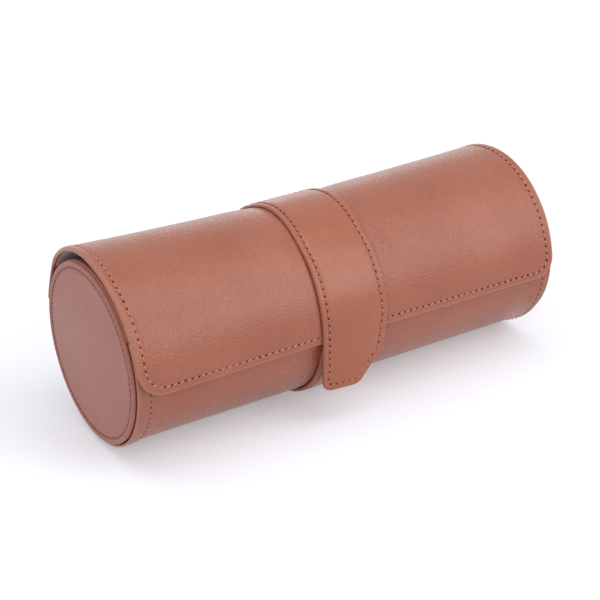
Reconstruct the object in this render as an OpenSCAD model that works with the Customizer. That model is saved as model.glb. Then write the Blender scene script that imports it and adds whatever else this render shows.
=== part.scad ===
// Round travel case for three watches: a leather tub with flat ends, a curved flap hinged
// along the tub's back lip, and a strap whose loose tongue closes over the flap's front edge.
// X runs along the roll, -Y is the front, +Z is up. The origin is the middle of the small
// flat on the underside of the strap, where the case rests.

/* [Tub] */
// Outer radius of the tub
tub_r = 38; // [34:0.5:46]
// Length of the tub between its two ends
tub_len = 198; // [186:1:240]
// Angle of the tub's back lip, counted from the back over the top
back_lip_angle = 32; // [28:1:40]
// Angle of the tub's front lip
front_lip_angle = 148; // [138:1:154]
// Thickness of the tub's leather
tub_leather_t = 1.2; // [0.8:0.1:1.6]
// Thickness of the tub's stiffening board
tub_board_t = 2.0; // [1.4:0.1:2.4]
// Thickness of the suede lining
lining_t = 0.7; // [0.5:0.1:1]

/* [Ends] */
// Thickness of the board in each end
end_board_t = 2.0; // [1.4:0.1:3]
// How far the leather disc stands out past the tub's end
end_disc_out = 2.4; // [1.8:0.1:4]
// Width of the groove between the disc and the tub
groove_w = 0.8; // [0.4:0.1:1.2]
// Depth of the groove below the disc's rim
groove_depth = 1.3; // [0.6:0.1:2]
// Radius of the disc's outer edge
disc_edge_r = 1.2; // [0.6:0.1:1.5]
// How far the disc's rim stays inside the tub's outer radius
disc_inset = 0.4; // [0.2:0.1:1]
// Thickness of the binding round the open part of the end
binding_t = 0.8; // [0.5:0.1:0.9]

/* [Flap] */
// Room between the flap's lining and the tub's leather
flap_clearance = 0.3; // [0.3:0.1:1]
// Thickness of the flap's suede lining
flap_lining_t = 0.4; // [0.3:0.1:0.8]
// Thickness of the flap's board
flap_board_t = 0.7; // [0.5:0.1:1.2]
// Thickness of the flap's leather
flap_leather_t = 0.8; // [0.6:0.1:1.2]
// How far the flap stands out past the tub at each end
flap_over = 0.5; // [0:0.25:3]
// Angle of the flap's front edge
flap_front_angle = 183; // [176:1:186]
// Radius of the flap's two front corners
flap_corner_r = 11.5; // [6:0.5:16]
// How much the flap's radius grows towards its two ends
flap_flare = 0.9; // [0.2:0.1:2]
// Length of each flared end
flap_flare_len = 42; // [20:1:60]
// Width of the leather turned in along the flap's edges
flap_turn_w = 1.0; // [0.6:0.1:2]

/* [Hinge] */
// Angle of the leather hinge's fold line
hinge_angle = 26; // [22:1:27]
// Angle where the hinge strip begins on the tub's back
hinge_strip_start = 8; // [2:1:14]
// Width of the strip's thicker bead beside the fold
hinge_bead_w = 4.0; // [2:0.5:6]
// Half of the slit left for the fold
fold_slit = 0.35; // [0.3:0.05:0.5]

/* [Strap] */
// Width of the strap over the flap
strap_w = 30; // [24:1:40]
// Place of the strap's middle along the roll
strap_x = -1.5; // [-6:0.5:6]
// Thickness of the strap's leather
strap_leather_t = 1.05; // [0.8:0.05:1.6]
// Thickness of the strap's backing
strap_backing_t = 0.9; // [0.8:0.05:1.4]
// Angle where the strap begins behind the top of the flap
strap_start_angle = 36; // [33:1:50]
// Angle at which the strap leaves the flap and becomes the tongue
strap_end_angle = 179.5; // [176:0.5:180]

/* [Tongue] */
// Length of the tongue below the tub's middle height
tongue_len = 24.4; // [22:0.2:30]
// Room between the tongue and the flap
tongue_clearance = 0.35; // [0.3:0.05:0.8]
// Radius of the tongue's lower left corner
tongue_corner_r = 5; // [3:0.5:7]
// How much higher that corner ends than the tongue's lowest point
tongue_slant = 0.8; // [0:0.1:2]
// Radius of the rounded point at the tongue's lower end
tongue_tip_r = 3.5; // [2:0.5:4]
// Distance of that point's middle from the strap's left edge
tongue_tip_x = 13; // [9:0.5:15]
// Radius of the belly on the tongue's right side
tongue_belly_r = 6; // [4:0.5:8]
// How far the belly stays inside the strap's right edge
tongue_belly_in = 2.5; // [0:0.5:5]
// Depth of the belly's middle below the tub's middle height
tongue_belly_depth = 8.6; // [7:0.2:11]
// Radius of the magnet in the tongue
magnet_r = 5; // [3:0.5:6]
// Thickness of the magnet
magnet_t = 0.5; // [0.4:0.05:0.5]
// Depth of the magnet's middle below the tub's middle height
magnet_depth = 11; // [10:0.5:13]

/* [Lower strap] */
// Width of the strap under the tub
lower_strap_w = 30; // [24:1:40]
// Place of the lower strap's middle along the roll
lower_strap_x = -3.2; // [-6:0.2:0]
// Thickness of the lower strap's leather
lower_leather_t = 1.0; // [0.9:0.05:1.5]
// Thickness of the lower strap's backing
lower_backing_t = 0.7; // [0.5:0.05:1.2]
// Angle of the lower strap's front end, under the tongue
lower_start_angle = 186.5; // [186:0.5:188]
// Angle of the lower strap's back end, below the hinge
lower_end_angle = 7; // [0:0.5:7]
// Width of the flat that the case rests on
rest_flat_w = 14; // [8:0.5:16]
// Radius of the steel keeper that the magnet closes on
keeper_r = 5.5; // [4:0.5:6]
// Gap between the keeper's face and the tongue
keeper_clearance = 0.4; // [0.3:0.05:0.8]

/* [Inside] */
// Thickness of each divider
divider_t = 3.0; // [2.4:0.1:4]
// Thickness of the suede on each side of a divider
divider_suede_t = 0.7; // [0.4:0.1:0.9]
// Height of a divider's top edge above the tub's middle
divider_top = 24; // [14:1:27]
// Width of a watch pillow
pillow_w = 48; // [44:1:50]
// Height of a watch pillow
pillow_h = 39; // [34:1:40]
// Room between a pillow and the bay's two sides
pillow_clearance = 2.2; // [1:0.1:4]
// How far a pillow draws in round its ends
pillow_draw = 4.5; // [2:0.5:7]
// Length of each drawn-in end
pillow_end_len = 7; // [4:0.5:10]
// Thickness of a pillow's suede cover
pillow_cover_t = 0.8; // [0.5:0.1:1.2]

/* [Hidden] */

TAN = [0.62, 0.34, 0.26];
TAN_DEEP = [0.56, 0.31, 0.25];
SUEDE = [0.62, 0.58, 0.52];
BOARD = [0.72, 0.64, 0.50];
FOAM = [0.86, 0.84, 0.78];
STEEL = [0.70, 0.71, 0.73];

glue = 0.05;      // thickness of a glue line between two bonded plies
seat = 0.1;       // room round a piece that drops into a pocket
cut = 1;          // how far a cutting shape runs past what it cuts
corner_bite = 0.1; // how far a rounded corner's circle stands past the edges it joins
round_fn = 96;
soft_fn = 32;

// Degrees that a length takes up on a circle
function arc(len, r) = len / r * 180 / PI;

// The tub's plies, from the outside in
tub_board_r = tub_r - tub_leather_t - glue;
tub_lining_r = tub_board_r - tub_board_t - glue;
bore_r = tub_lining_r - lining_t;
lip_turn = arc(tub_leather_t, tub_board_r);
end_x = tub_len / 2;
end_lining_x = end_x - end_board_t - glue - lining_t;
inner_half = end_lining_x - seat;

// The flap's plies, from the inside out
flap_in_r = tub_r + flap_clearance;
flap_board_in_r = flap_in_r + flap_lining_t + glue;
flap_leather_in_r = flap_board_in_r + flap_board_t + glue;
flap_r = flap_leather_in_r + flap_leather_t;
flap_body_angle = back_lip_angle + 2;
flap_len = tub_len + 2 * flap_over;
hinge_slit_angle = arc(fold_slit, flap_r);

// The strap's plies over the flap
strap_in_r = flap_r + glue;
strap_mid_r = strap_in_r + strap_backing_t + glue;
strap_r = strap_mid_r + strap_leather_t;

// The tongue hangs straight down from the strap's front, in three flat plies
tongue_in_y = flap_r + tongue_clearance;
tongue_mid_y = tongue_in_y + strap_backing_t + glue;
tongue_out_y = tongue_mid_y + strap_leather_t;
tongue_left = strap_x - strap_w / 2;
tongue_right = strap_x + strap_w / 2;
magnet_x = tongue_left + tongue_tip_x;

// The lower strap's plies and the flat it rests on
lower_in_r = tub_r + glue;
lower_mid_r = lower_in_r + lower_backing_t + glue;
lower_r = lower_mid_r + lower_leather_t;
axis_z = sqrt(lower_r * lower_r - rest_flat_w * rest_flat_w / 4);

// Bays, dividers and pillows
bay_len = (2 * inner_half - 2 * divider_t) / 3;
divider_x = (bay_len + divider_t) / 2;
pillow_len = bay_len - 2 * pillow_clearance;
pillow_round = pillow_h / 2;
pillow_off = pillow_w / 2 - pillow_round;
pillow_seat_r = bore_r - 0.3;
pillow_z = -sqrt(pow(pillow_seat_r - pillow_round, 2) - pillow_off * pillow_off);

// Turns children drawn round Z so that they lie round the tub's axis, with angle 0 at the back
module round_axis() {
    translate([0, 0, axis_z])
        rotate([90, 0, 90])
            children();
}

// Draws children on the right end, or mirrored on the left one
module on_side(side) {
    mirror([side < 0 ? 1 : 0, 0, 0])
        children();
}

// A plain curved ply between two radii, two angles and two places along the roll
module ply(r_in, r_out, a_from, a_to, x_from, x_to) {
    rotate([0, 0, a_from])
        rotate_extrude(angle = a_to - a_from, $fn = round_fn)
            translate([r_in, x_from])
                square([r_out - r_in, x_to - x_from]);
}

// A curved ply of the flap, whose radius grows towards both ends
module flared_ply(r_in, r_out, a_from, a_to, half) {
    waist = flap_len / 2 - flap_flare_len;
    grow = flap_flare * (half - waist) / flap_flare_len;
    rotate([0, 0, a_from])
        rotate_extrude(angle = a_to - a_from, $fn = round_fn)
            polygon([
                [r_in + grow, -half], [r_out + grow, -half],
                [r_out, -waist], [r_out, waist],
                [r_out + grow, half], [r_in + grow, half],
                [r_in, waist], [r_in, -waist]
            ]);
}

// What lies outside a rounded front corner of the flap, seen from the front
module corner_waste(half, edge_z, r) {
    for (side = [-1, 1])
        on_side(side)
            translate([half - r + corner_bite, 0, edge_z + r - corner_bite])
                rotate([90, 0, 0])
                    linear_extrude(2 * tub_r)
                        difference() {
                            translate([0, -r - cut])
                                square([r + cut, r + cut]);
                            circle(r, $fn = round_fn);
                        }
}

// A flap ply with its front corners rounded
module flap_ply(r_in, r_out, a_from, inset) {
    half = flap_len / 2 - inset;
    a_to = flap_front_angle - arc(inset, r_out);
    edge_z = axis_z + r_out * sin(a_to);
    difference() {
        round_axis()
            flared_ply(r_in, r_out, a_from, a_to, half);
        corner_waste(half, edge_z, flap_corner_r - inset);
    }
}

// A divider's outline, drawn in by a margin
module divider_outline(margin) {
    r = bore_r - seat - margin;
    intersection() {
        circle(r, $fn = round_fn);
        translate([-r, -r])
            square([2 * r, r + divider_top - margin]);
    }
}

// A pillow's oval section, drawn in by a margin
module pillow_section(margin) {
    r = pillow_round - margin;
    for (side = [-1, 1])
        translate([side * pillow_off, 0])
            circle(r, $fn = soft_fn);
}

// A pillow's soft form, full in the middle and drawn in round its ends
module pillow_form(margin) {
    half = pillow_len / 2 - margin;
    belly = half - pillow_end_len;
    steps = [[-half, pillow_draw], [-half + pillow_end_len / 3, pillow_draw / 4],
             [-belly, 0], [belly, 0],
             [half - pillow_end_len / 3, pillow_draw / 4], [half, pillow_draw]];
    skin = 0.01;
    translate([0, 0, pillow_z])
        hull()
            for (s = steps)
                translate([0, 0, s[0] - skin / 2])
                    linear_extrude(skin)
                        pillow_section(margin + s[1]);
}

module pillow_at(place, margin) {
    translate([place * (bay_len + divider_t), 0, axis_z])
        translate([0, 0, pillow_z])
            rotate([90, 0, 90])
                translate([0, 0, -pillow_z])
                    pillow_form(margin);
}

// The tongue's outline seen from the front: straight on the left, drawn to a point on the right
module tongue_outline() {
    hull() {
        translate([tongue_left, -2 * tongue_clearance])
            square([strap_w, tongue_clearance]);
        translate([tongue_left + tongue_corner_r, tongue_slant - tongue_len + tongue_corner_r])
            circle(tongue_corner_r, $fn = soft_fn);
        translate([tongue_left + tongue_tip_x, -tongue_len + tongue_tip_r])
            circle(tongue_tip_r, $fn = soft_fn);
        translate([tongue_right - tongue_belly_in - tongue_belly_r, -tongue_belly_depth])
            circle(tongue_belly_r, $fn = soft_fn);
    }
}

// A flat ply of the tongue between two distances in front of the tub's axis
module tongue_ply(y_in, y_out) {
    translate([0, -y_in, axis_z])
        rotate([90, 0, 0])
            linear_extrude(y_out - y_in)
                tongue_outline();
}

// A round plug along Y in line with the tongue's magnet
module magnet_plug(r, y_in, y_out) {
    translate([magnet_x, -y_in, axis_z - magnet_depth])
        rotate([90, 0, 0])
            cylinder(r = r, h = y_out - y_in, $fn = round_fn);
}

// Tub: leather outside with its two lips turned in over the board
module tub_leather() {
    a_to = back_lip_angle + 360;
    lip_r = tub_r - tub_leather_t / 2;
    color(TAN)
        round_axis()
            union() {
                ply(tub_r - tub_leather_t, tub_r, front_lip_angle, a_to, -end_x, end_x);
                ply(tub_lining_r + glue, lip_r, front_lip_angle, front_lip_angle + lip_turn,
                    -inner_half, inner_half);
                ply(tub_lining_r + glue, lip_r, a_to - lip_turn, a_to, -inner_half, inner_half);
            }
}

module tub_board() {
    color(BOARD)
        round_axis()
            ply(tub_board_r - tub_board_t, tub_board_r,
                front_lip_angle + lip_turn + arc(seat, tub_board_r),
                back_lip_angle + 360 - lip_turn - arc(seat, tub_board_r),
                -inner_half, inner_half);
}

module tub_lining() {
    color(SUEDE)
        round_axis()
            ply(bore_r, tub_lining_r, front_lip_angle, back_lip_angle + 360, -inner_half, inner_half);
}

// Ends: a board and its suede inside the tub's leather, a leather disc outside
module end_board(side) {
    color(BOARD)
        on_side(side)
            round_axis()
                translate([0, 0, end_x - end_board_t])
                    cylinder(r = tub_board_r - seat, h = end_board_t, $fn = round_fn);
}

module end_lining(side) {
    color(SUEDE)
        on_side(side)
            round_axis()
                translate([0, 0, end_lining_x])
                    cylinder(r = tub_board_r - seat, h = lining_t, $fn = round_fn);
}

module end_leather(side) {
    disc_r = tub_r - disc_inset;
    disc_x = end_x + glue;
    color(TAN_DEEP)
        on_side(side)
            round_axis()
                rotate_extrude($fn = round_fn)
                    union() {
                        translate([0, disc_x])
                            square([disc_r - groove_depth, end_disc_out - glue]);
                        translate([0, end_x + groove_w])
                            square([disc_r, end_disc_out - groove_w - disc_edge_r]);
                        translate([disc_r - disc_edge_r, end_x + end_disc_out - disc_edge_r])
                            circle(disc_edge_r, $fn = soft_fn);
                    }
}

module end_binding(side) {
    color(TAN)
        on_side(side)
            round_axis()
                ply(tub_board_r, tub_board_r + binding_t,
                    back_lip_angle + arc(seat, tub_r), front_lip_angle - arc(seat, tub_r),
                    end_lining_x, end_x);
}

// Dividers: a stiff core in a suede cover
module divider_core(side) {
    color(BOARD)
        on_side(side)
            round_axis()
                translate([0, 0, divider_x - divider_t / 2 + divider_suede_t + glue])
                    linear_extrude(divider_t - 2 * divider_suede_t - 2 * glue)
                        divider_outline(divider_suede_t + glue);
}

module divider_cover(side) {
    color(SUEDE)
        on_side(side)
            round_axis()
                translate([0, 0, divider_x - divider_t / 2])
                    difference() {
                        linear_extrude(divider_t)
                            divider_outline(0);
                        translate([0, 0, divider_suede_t])
                            linear_extrude(divider_t - 2 * divider_suede_t)
                                divider_outline(divider_suede_t);
                    }
}

// Pillows: one in each bay, place is -1, 0 or 1
module pillow_foam(place) {
    color(FOAM)
        pillow_at(place, pillow_cover_t + glue);
}

module pillow_cover(place) {
    color(SUEDE)
        difference() {
            pillow_at(place, 0);
            pillow_at(place, pillow_cover_t);
        }
}

// Leather strip on the tub's back that ends in a bead beside the fold
module hinge_strip() {
    fold_angle = hinge_angle - hinge_slit_angle;
    color(TAN)
        round_axis() {
            ply(tub_r + glue, tub_r + glue + flap_leather_t, hinge_strip_start,
                fold_angle - arc(seat, flap_r), -end_x, end_x);
            ply(tub_r + glue + flap_leather_t / 2, flap_r - glue,
                fold_angle - arc(hinge_bead_w, flap_r), fold_angle, -end_x + seat, end_x - seat);
        }
}

// Lower strap: round the tub's underside from below the flap's edge to below the hinge
module lower_ply(r_in, r_out) {
    x_from = lower_strap_x - lower_strap_w / 2;
    round_axis()
        ply(r_in, r_out, lower_start_angle, lower_end_angle + 360, x_from, x_from + lower_strap_w);
}

module lower_strap_leather() {
    color(TAN)
        difference() {
            lower_ply(lower_mid_r, lower_r);
            translate([-tub_len / 2, -tub_r, -tub_r])
                cube([tub_len, 2 * tub_r, tub_r]);
        }
}

module lower_strap_backing() {
    color(TAN_DEEP)
        lower_ply(lower_in_r, lower_in_r + lower_backing_t);
}

// Steel keeper seated on the lower strap, its face towards the tongue's magnet
module keeper() {
    color(STEEL)
        difference() {
            magnet_plug(keeper_r, tub_r / 2, tongue_in_y - keeper_clearance);
            round_axis()
                cylinder(r = lower_r + glue, h = tub_len, center = true, $fn = round_fn);
        }
}

// Flap: leather turned in over a board, with a suede lining underneath
module flap_leather() {
    fold_angle = hinge_angle + hinge_slit_angle;
    color(TAN)
        difference() {
            flap_ply(flap_board_in_r, flap_r, fold_angle, 0);
            flap_ply(flap_board_in_r - cut, flap_leather_in_r, fold_angle - arc(cut, flap_r),
                     flap_turn_w);
        }
}

module flap_board() {
    color(BOARD)
        flap_ply(flap_board_in_r, flap_board_in_r + flap_board_t, flap_body_angle, flap_turn_w + seat);
}

module flap_lining() {
    color(SUEDE)
        flap_ply(flap_in_r, flap_in_r + flap_lining_t, flap_body_angle, flap_turn_w / 2);
}

// Strap over the flap, in two plies
module strap_ply(r_in, r_out) {
    round_axis()
        ply(r_in, r_out, strap_start_angle, strap_end_angle, tongue_left, tongue_right);
}

module strap_leather() {
    color(TAN)
        strap_ply(strap_mid_r, strap_r);
}

module strap_backing() {
    color(TAN_DEEP)
        strap_ply(strap_in_r, strap_in_r + strap_backing_t);
}

// Tongue: the strap's loose end, with a magnet in its backing
module tongue_leather() {
    color(TAN)
        tongue_ply(tongue_mid_y, tongue_out_y);
}

module tongue_backing() {
    pocket_y = tongue_in_y + strap_backing_t - magnet_t - seat;
    color(TAN_DEEP)
        difference() {
            tongue_ply(tongue_in_y, tongue_in_y + strap_backing_t);
            magnet_plug(magnet_r + seat, pocket_y, tongue_in_y + strap_backing_t + cut);
        }
}

module tongue_magnet() {
    magnet_y = tongue_in_y + strap_backing_t;
    color(STEEL)
        magnet_plug(magnet_r, magnet_y - magnet_t, magnet_y);
}

tub_leather();
tub_board();
tub_lining();
end_board(-1);  // end_board_left
end_board(1);  // end_board_right
end_leather(-1);  // end_leather_left
end_leather(1);  // end_leather_right
end_lining(-1);  // end_lining_left
end_lining(1);  // end_lining_right
end_binding(-1);  // end_binding_left
end_binding(1);  // end_binding_right
divider_core(-1);  // divider_core_left
divider_core(1);  // divider_core_right
divider_cover(-1);  // divider_cover_left
divider_cover(1);  // divider_cover_right
pillow_foam(-1);  // pillow_foam_left
pillow_foam(0);  // pillow_foam_middle
pillow_foam(1);  // pillow_foam_right
pillow_cover(-1);  // pillow_cover_left
pillow_cover(0);  // pillow_cover_middle
pillow_cover(1);  // pillow_cover_right
hinge_strip();
lower_strap_leather();
lower_strap_backing();
keeper();
flap_leather();
flap_board();
flap_lining();
strap_leather();
strap_backing();
tongue_leather();
tongue_backing();
tongue_magnet();
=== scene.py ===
# %% [markdown]
# # A round travel case for three watches
# The case is a stiff round tub covered in smooth tan leather. A curved flap comes over from the
# back, and a strap runs round the middle; its loose tongue closes over the flap's front edge.
# The working model is loaded first. It holds the real sizes, and every leather panel below is
# wrapped round it. All lengths in this file are in metres, so millimetres are written as n * MM.

# %% Load the working model
import math
import bmesh
import bpy
import numpy as np
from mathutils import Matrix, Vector, noise


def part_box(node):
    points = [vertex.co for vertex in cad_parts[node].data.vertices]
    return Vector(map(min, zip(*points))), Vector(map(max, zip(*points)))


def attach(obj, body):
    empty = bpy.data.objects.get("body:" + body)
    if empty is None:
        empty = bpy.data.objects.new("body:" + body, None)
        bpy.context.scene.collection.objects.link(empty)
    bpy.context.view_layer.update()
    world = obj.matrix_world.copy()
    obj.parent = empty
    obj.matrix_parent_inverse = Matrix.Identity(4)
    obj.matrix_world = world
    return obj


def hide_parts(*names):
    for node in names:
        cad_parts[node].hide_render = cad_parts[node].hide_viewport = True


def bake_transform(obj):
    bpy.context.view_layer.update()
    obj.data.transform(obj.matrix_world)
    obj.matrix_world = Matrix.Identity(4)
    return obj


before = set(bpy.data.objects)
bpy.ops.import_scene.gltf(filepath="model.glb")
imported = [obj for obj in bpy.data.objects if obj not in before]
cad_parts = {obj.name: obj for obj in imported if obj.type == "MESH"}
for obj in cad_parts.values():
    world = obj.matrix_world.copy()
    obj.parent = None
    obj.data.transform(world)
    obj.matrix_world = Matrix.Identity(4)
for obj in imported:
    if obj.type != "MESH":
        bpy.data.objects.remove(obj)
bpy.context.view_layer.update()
MM = 0.001

# %% [markdown]
# ## Sizes
# Everything is measured round one line, the tub's axis. Angles are counted from the back, over
# the top (90) and down the front (180), as a saddler would walk a tape round the roll.

# %% Read the sizes that the panels follow
disc_low, disc_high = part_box("end_leather_left")
AXIS_Z = (disc_low.z + disc_high.z) / 2
DISC_R = (disc_high.z - disc_low.z) / 2
DISC_FACE_X = -disc_low.x
TUB_R = AXIS_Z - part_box("tub_leather")[0].z
END_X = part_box("tub_leather")[1].x
FLAP_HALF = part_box("flap_leather")[1].x
STRAP_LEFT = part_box("strap_leather")[0].x
STRAP_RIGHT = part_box("strap_leather")[1].x
STRAP_MID = (STRAP_LEFT + STRAP_RIGHT) / 2
LOWER_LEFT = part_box("lower_strap_leather")[0].x
LOWER_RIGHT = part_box("lower_strap_leather")[1].x
TONGUE_LOW = AXIS_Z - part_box("tongue_leather")[0].z

BACK_LIP_DEG = 32
FRONT_LIP_DEG = 148
FLAP_SEAM_DEG = 8
FLAP_FRONT_DEG = 183
STRAP_JOIN_DEG = 48
LOWER_FRONT_DEG = 186.5

# %% [markdown]
# ## Camera
# The camera stands at the photograph's place: to the left of the front, a little under thirty
# degrees up. A long lens from three quarters of a metre keeps the two ends nearly the same size.

# %% Place the camera
CAMERA_AZIMUTH = math.radians(-32.128)
CAMERA_ELEVATION = math.radians(28.44)
CAMERA_DISTANCE = 0.7223
CAMERA_AIM = Vector((-2.77 * MM, 0, AXIS_Z - 4.10 * MM))
FOCAL_LENGTH = 103.28
SENSOR_WIDTH = 36

camera = bpy.data.objects.new("camera", bpy.data.cameras.new("camera"))
bpy.context.scene.collection.objects.link(camera)
back = Vector((math.sin(CAMERA_AZIMUTH) * math.cos(CAMERA_ELEVATION),
               -math.cos(CAMERA_AZIMUTH) * math.cos(CAMERA_ELEVATION),
               math.sin(CAMERA_ELEVATION)))
camera.location = CAMERA_AIM + back * CAMERA_DISTANCE
camera.rotation_mode = "QUATERNION"
camera.rotation_quaternion = (-back).to_track_quat("-Z", "Y")
camera.data.lens = FOCAL_LENGTH
camera.data.sensor_width = SENSOR_WIDTH
camera.data.clip_start = 0.02
camera.data.clip_end = 20
bpy.context.scene.camera = camera
print("camera at", [round(c, 3) for c in camera.location])

# %% [markdown]
# ## Floor and light
# A product on white paper needs a floor that looks white to the lens but does not throw white
# light on the object. So its white comes from its colour and from a glow that only the lens and
# a gloss see, and the lamps stay at the level at which a colour renders about as it is written.
# The sky is white in the same way, so metal and glossy leather mirror the background that the
# lens sees. A large lamp above gives the broad light, four softer ones open the shadows, and a
# small panel in front draws the sheen on the flap.

# %% Make the floor
FLOOR_SIZE = 8
FLOOR_DROP = 0.2 * MM
FLOOR_COLOUR = (0.76, 0.775, 0.83, 1)
GLOW_NEAR = 0.275
GLOW_FAR = 0.62
NEAR_REACH = 0.35
FAR_REACH = 2.2


def new_material(name):
    """A material with an empty node tree, and its output node."""
    material = bpy.data.materials.new(name)
    material.use_nodes = True
    material.node_tree.nodes.clear()
    out = material.node_tree.nodes.new("ShaderNodeOutputMaterial")
    return material, material.node_tree, out


def lens_or_gloss(tree):
    """1 where the lens, a gloss or a glass looks at a surface, 0 where its light is gathered."""
    path = tree.nodes.new("ShaderNodeLightPath")
    seen = tree.nodes.new("ShaderNodeMath")
    seen.operation = "MAXIMUM"
    tree.links.new(path.outputs["Is Camera Ray"], seen.inputs[0])
    tree.links.new(path.outputs["Is Glossy Ray"], seen.inputs[1])
    also = tree.nodes.new("ShaderNodeMath")
    also.operation = "MAXIMUM"
    tree.links.new(seen.outputs[0], also.inputs[0])
    tree.links.new(path.outputs["Is Transmission Ray"], also.inputs[1])
    return also.outputs[0]


def white_for_the_lens(tree, shader):
    """Adds plain white to a shader, but only where the lens or a gloss looks at it. The far floor
    gets more of it, since the lamps hardly reach there."""
    place = tree.nodes.new("ShaderNodeTexCoord")
    away = tree.nodes.new("ShaderNodeVectorMath")
    away.operation = "LENGTH"
    tree.links.new(place.outputs["Object"], away.inputs[0])
    rise = tree.nodes.new("ShaderNodeMapRange")
    rise.interpolation_type = "SMOOTHSTEP"
    rise.inputs["From Min"].default_value = NEAR_REACH
    rise.inputs["From Max"].default_value = FAR_REACH
    rise.inputs["To Min"].default_value = GLOW_NEAR
    rise.inputs["To Max"].default_value = GLOW_FAR
    tree.links.new(away.outputs["Value"], rise.inputs["Value"])
    glow = tree.nodes.new("ShaderNodeEmission")
    amount = tree.nodes.new("ShaderNodeMath")
    amount.operation = "MULTIPLY"
    tree.links.new(lens_or_gloss(tree), amount.inputs[0])
    tree.links.new(rise.outputs["Result"], amount.inputs[1])
    tree.links.new(amount.outputs[0], glow.inputs["Strength"])
    both = tree.nodes.new("ShaderNodeAddShader")
    tree.links.new(shader.outputs[0], both.inputs[0])
    tree.links.new(glow.outputs[0], both.inputs[1])
    return both


floor_mesh = bpy.data.meshes.new("floor")
half = FLOOR_SIZE / 2
floor_mesh.from_pydata([(-half, -half, 0), (half, -half, 0), (half, half, 0), (-half, half, 0)],
                       [], [(0, 1, 2, 3)])
floor = bpy.data.objects.new("floor", floor_mesh)
floor.location.z = -FLOOR_DROP
bpy.context.scene.collection.objects.link(floor)
paper, tree, out = new_material("white_paper")
diffuse = tree.nodes.new("ShaderNodeBsdfDiffuse")
diffuse.inputs["Color"].default_value = FLOOR_COLOUR
tree.links.new(white_for_the_lens(tree, diffuse).outputs[0], out.inputs["Surface"])
floor_mesh.materials.append(paper)
print("floor", FLOOR_SIZE, "m square")

# %% Light the scene
SKY_COLOUR = (0.93, 0.96, 1.0, 1)
SKY_LIGHT = 0.50

world = bpy.data.worlds.new("studio")
world.use_nodes = True
bpy.context.scene.world = world
tree = world.node_tree
tree.nodes.clear()
fill = tree.nodes.new("ShaderNodeBackground")
fill.inputs["Color"].default_value = SKY_COLOUR
fill.inputs["Strength"].default_value = SKY_LIGHT
seen = tree.nodes.new("ShaderNodeBackground")
seen.inputs["Color"].default_value = (1, 1, 1, 1)
seen.inputs["Strength"].default_value = 1.0
pick = tree.nodes.new("ShaderNodeMixShader")
world_out = tree.nodes.new("ShaderNodeOutputWorld")
tree.links.new(lens_or_gloss(tree), pick.inputs["Fac"])
tree.links.new(fill.outputs[0], pick.inputs[1])
tree.links.new(seen.outputs[0], pick.inputs[2])
tree.links.new(pick.outputs[0], world_out.inputs["Surface"])


def soft_lamp(name, place, aim, width, height, radiance):
    """A rectangular soft lamp that looks at a point. Its power follows from how bright it looks."""
    data = bpy.data.lights.new(name, "AREA")
    data.shape = "RECTANGLE"
    data.size = width
    data.size_y = height
    data.energy = radiance * math.pi * width * height
    lamp = bpy.data.objects.new(name, data)
    bpy.context.scene.collection.objects.link(lamp)
    lamp.location = place
    lamp.rotation_mode = "QUATERNION"
    lamp.rotation_quaternion = (Vector(aim) - Vector(place)).to_track_quat("-Z", "Y")
    return lamp


soft_lamp("top_lamp", (0.58, -0.56, 1.90), (0, 0, 0.04), 1.1, 2.0, 2.15)
soft_lamp("key_lamp", (1.7, -1.5, 1.1), (0, 0, 0.04), 1.5, 1.5, 1.15)
soft_lamp("left_lamp", (-1.75, -1.0, 0.85), (0, 0, 0.04), 1.3, 1.1, 1.95)
soft_lamp("ceiling_lamp", (-0.5, 0.6, 1.5), (0, 0, 0.04), 1.2, 1.2, 1.15)
soft_lamp("front_panel", (0.31, -0.66, 0.39), (-0.06, -0.03, 0.06), 0.42, 0.42, 2.15)
soft_lamp("back_strip", (0.5, 1.6, 0.12), (0, 0, 0.06), 3.0, 0.30, 1.0)
bpy.context.scene.view_settings.view_transform = "Standard"
print(len(bpy.data.lights), "soft lamps and a pale sky")

# %% [markdown]
# ## Leather and suede as node groups
# Several finishes share the same effects, so each effect is a shader node group that is built
# once. *Leather grain* puts out a height and a tone. *Edge tone* reads how far a point is from
# its panel's cut edge. *Suede nap* gives the brushed, patchy look of the lining.

# %% A small helper that makes node groups


def new_group(name, inputs, outputs):
    """An empty shader node group. inputs is {name: default}, outputs is a list of names."""
    group = bpy.data.node_groups.new(name, "ShaderNodeTree")
    for key, value in inputs.items():
        kind = "NodeSocketVector" if isinstance(value, tuple) else "NodeSocketFloat"
        socket = group.interface.new_socket(name=key, in_out="INPUT", socket_type=kind)
        socket.default_value = value
    for key in outputs:
        group.interface.new_socket(name=key, in_out="OUTPUT", socket_type="NodeSocketFloat")
    return group, group.nodes.new("NodeGroupInput"), group.nodes.new("NodeGroupOutput")


def math_node(tree, operation, a, b=None, clamp=False):
    """A Math node fed by sockets or plain numbers. Returns its output socket."""
    node = tree.nodes.new("ShaderNodeMath")
    node.operation = operation
    node.use_clamp = clamp
    for socket, value in zip(node.inputs, (a, b)):
        if value is None:
            continue
        if isinstance(value, (int, float)):
            socket.default_value = value
        else:
            tree.links.new(value, socket)
    return node.outputs[0]


def noise_node(tree, vector, scale, detail=2.0, roughness=0.5):
    """A Noise Texture read at a vector. scale is a number or a socket."""
    node = tree.nodes.new("ShaderNodeTexNoise")
    tree.links.new(vector, node.inputs["Vector"])
    if isinstance(scale, (int, float)):
        node.inputs["Scale"].default_value = scale
    else:
        tree.links.new(scale, node.inputs["Scale"])
    node.inputs["Detail"].default_value = detail
    node.inputs["Roughness"].default_value = roughness
    return node.outputs["Fac"]


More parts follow.
